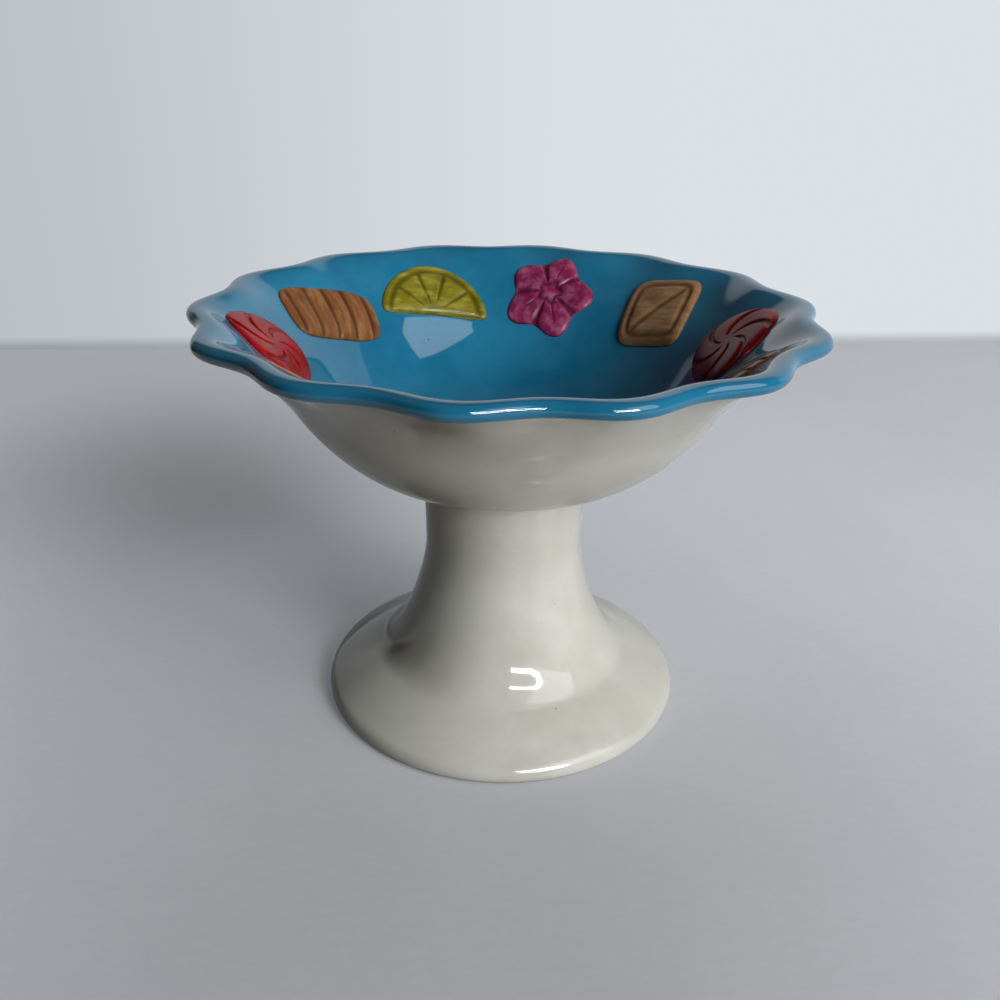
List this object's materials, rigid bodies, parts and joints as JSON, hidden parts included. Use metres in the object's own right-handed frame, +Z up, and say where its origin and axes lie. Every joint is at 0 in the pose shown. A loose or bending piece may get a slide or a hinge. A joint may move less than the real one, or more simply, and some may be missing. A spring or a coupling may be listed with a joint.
{
  "type": "footed candy dish",
  "caption": "Round footed candy dish: a scalloped, glazed bowl on a hollow flared pedestal, with a coloured lining and a ring of low-relief sprigs inside.",
  "frame": {"origin": "centre of the foot ring, on the plane that the dish stands on", "axes": "+Z up along the axis of the stem; +X through a lobe tip of the scalloped rim; a notch of the rim on +Y"},
  "size_m": [0.1418, 0.1386, 0.0999],
  "materials": {
    "cream_glaze": "glossy cream glaze with faint mottling",
    "fired_slip": "fired slip, dull",
    "teal_glaze": "glossy teal glaze, thin over the lip",
    "crimson_glaze": "glossy crimson glaze",
    "caramel_glaze": "glossy tan glaze with brown strokes",
    "magenta_glaze": "glossy magenta glaze",
    "olive_glaze": "glossy olive glaze",
    "toffee_glaze": "glossy nut-brown glaze"
  },
  "bodies": {
    "root": {"pedestal": "cream_glaze", "joint_slip": "fired_slip", "bowl": "cream_glaze", "glaze_lining": "teal_glaze", "round_sweet_sprig_1": "crimson_glaze", "caramel_sprig_1": "caramel_glaze", "blossom_sprig_1": "magenta_glaze", "half_moon_sprig_1": "olive_glaze", "toffee_sprig_1": "toffee_glaze", "round_sweet_sprig_2": "crimson_glaze", "caramel_sprig_2": "caramel_glaze", "blossom_sprig_2": "magenta_glaze", "half_moon_sprig_2": "olive_glaze", "toffee_sprig_2": "toffee_glaze"}
  },
  "joints": []
}
